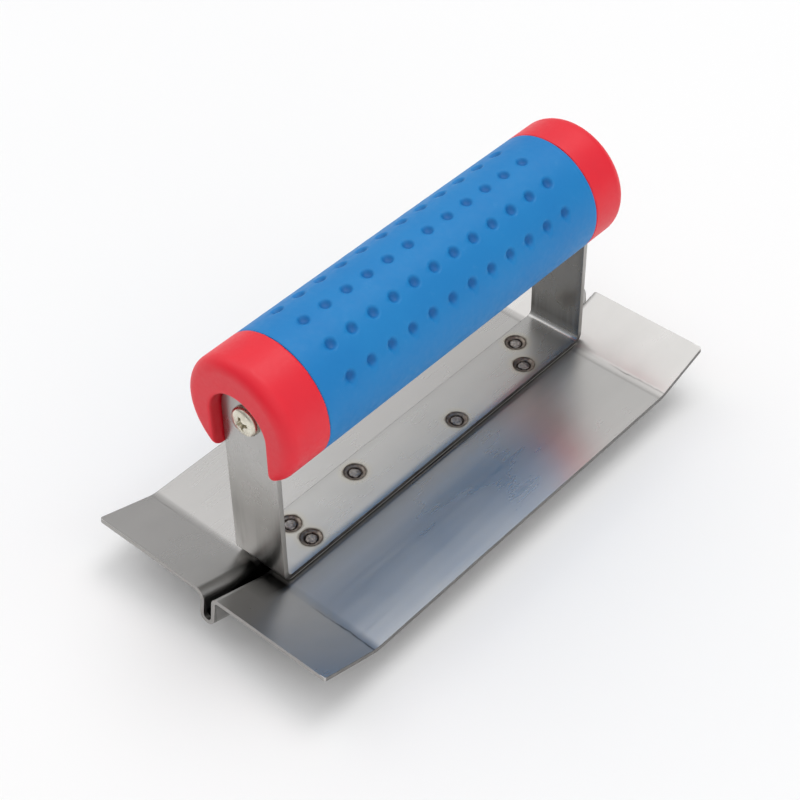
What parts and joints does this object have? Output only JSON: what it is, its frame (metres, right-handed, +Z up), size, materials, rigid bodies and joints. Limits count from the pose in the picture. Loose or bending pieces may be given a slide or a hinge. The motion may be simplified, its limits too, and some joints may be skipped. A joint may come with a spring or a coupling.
{
  "type": "concrete groover",
  "caption": "Hand groover for fresh concrete: turned-up sheet-steel blade with a pressed U-shaped bit, strap bracket and a round dimpled soft-grip handle with slotted end caps.",
  "frame": {"origin": "under the middle of the blade, at the level of the lowest point of the groove bit", "axes": "+X across the blade, +Y along the blade and the handle's axis, +Z up from the blade to the handle"},
  "size_m": [0.0772, 0.153, 0.0784],
  "materials": {
    "blade_steel": "satin stainless sheet with fine scratches",
    "strap_steel": "satin stainless strip, bright sheared edges",
    "weld_steel": "heat-tinted spot weld",
    "cap_plastic": "satin moulded plastic",
    "core_plastic": "natural moulded plastic, hidden",
    "grip_rubber": "satin soft-touch elastomer",
    "screw_steel": "bright nickel plate"
  },
  "bodies": {
    "root": {"blade": "blade_steel", "handle_strap": "strap_steel", "spot_weld_1": "weld_steel", "spot_weld_2": "weld_steel", "spot_weld_3": "weld_steel", "spot_weld_4": "weld_steel", "spot_weld_5": "weld_steel", "spot_weld_6": "weld_steel", "front_end_cap": "cap_plastic", "rear_end_cap": "cap_plastic", "handle_core": "core_plastic", "grip_sleeve": "grip_rubber", "front_screw": "screw_steel", "rear_screw": "screw_steel"}
  },
  "joints": []
}
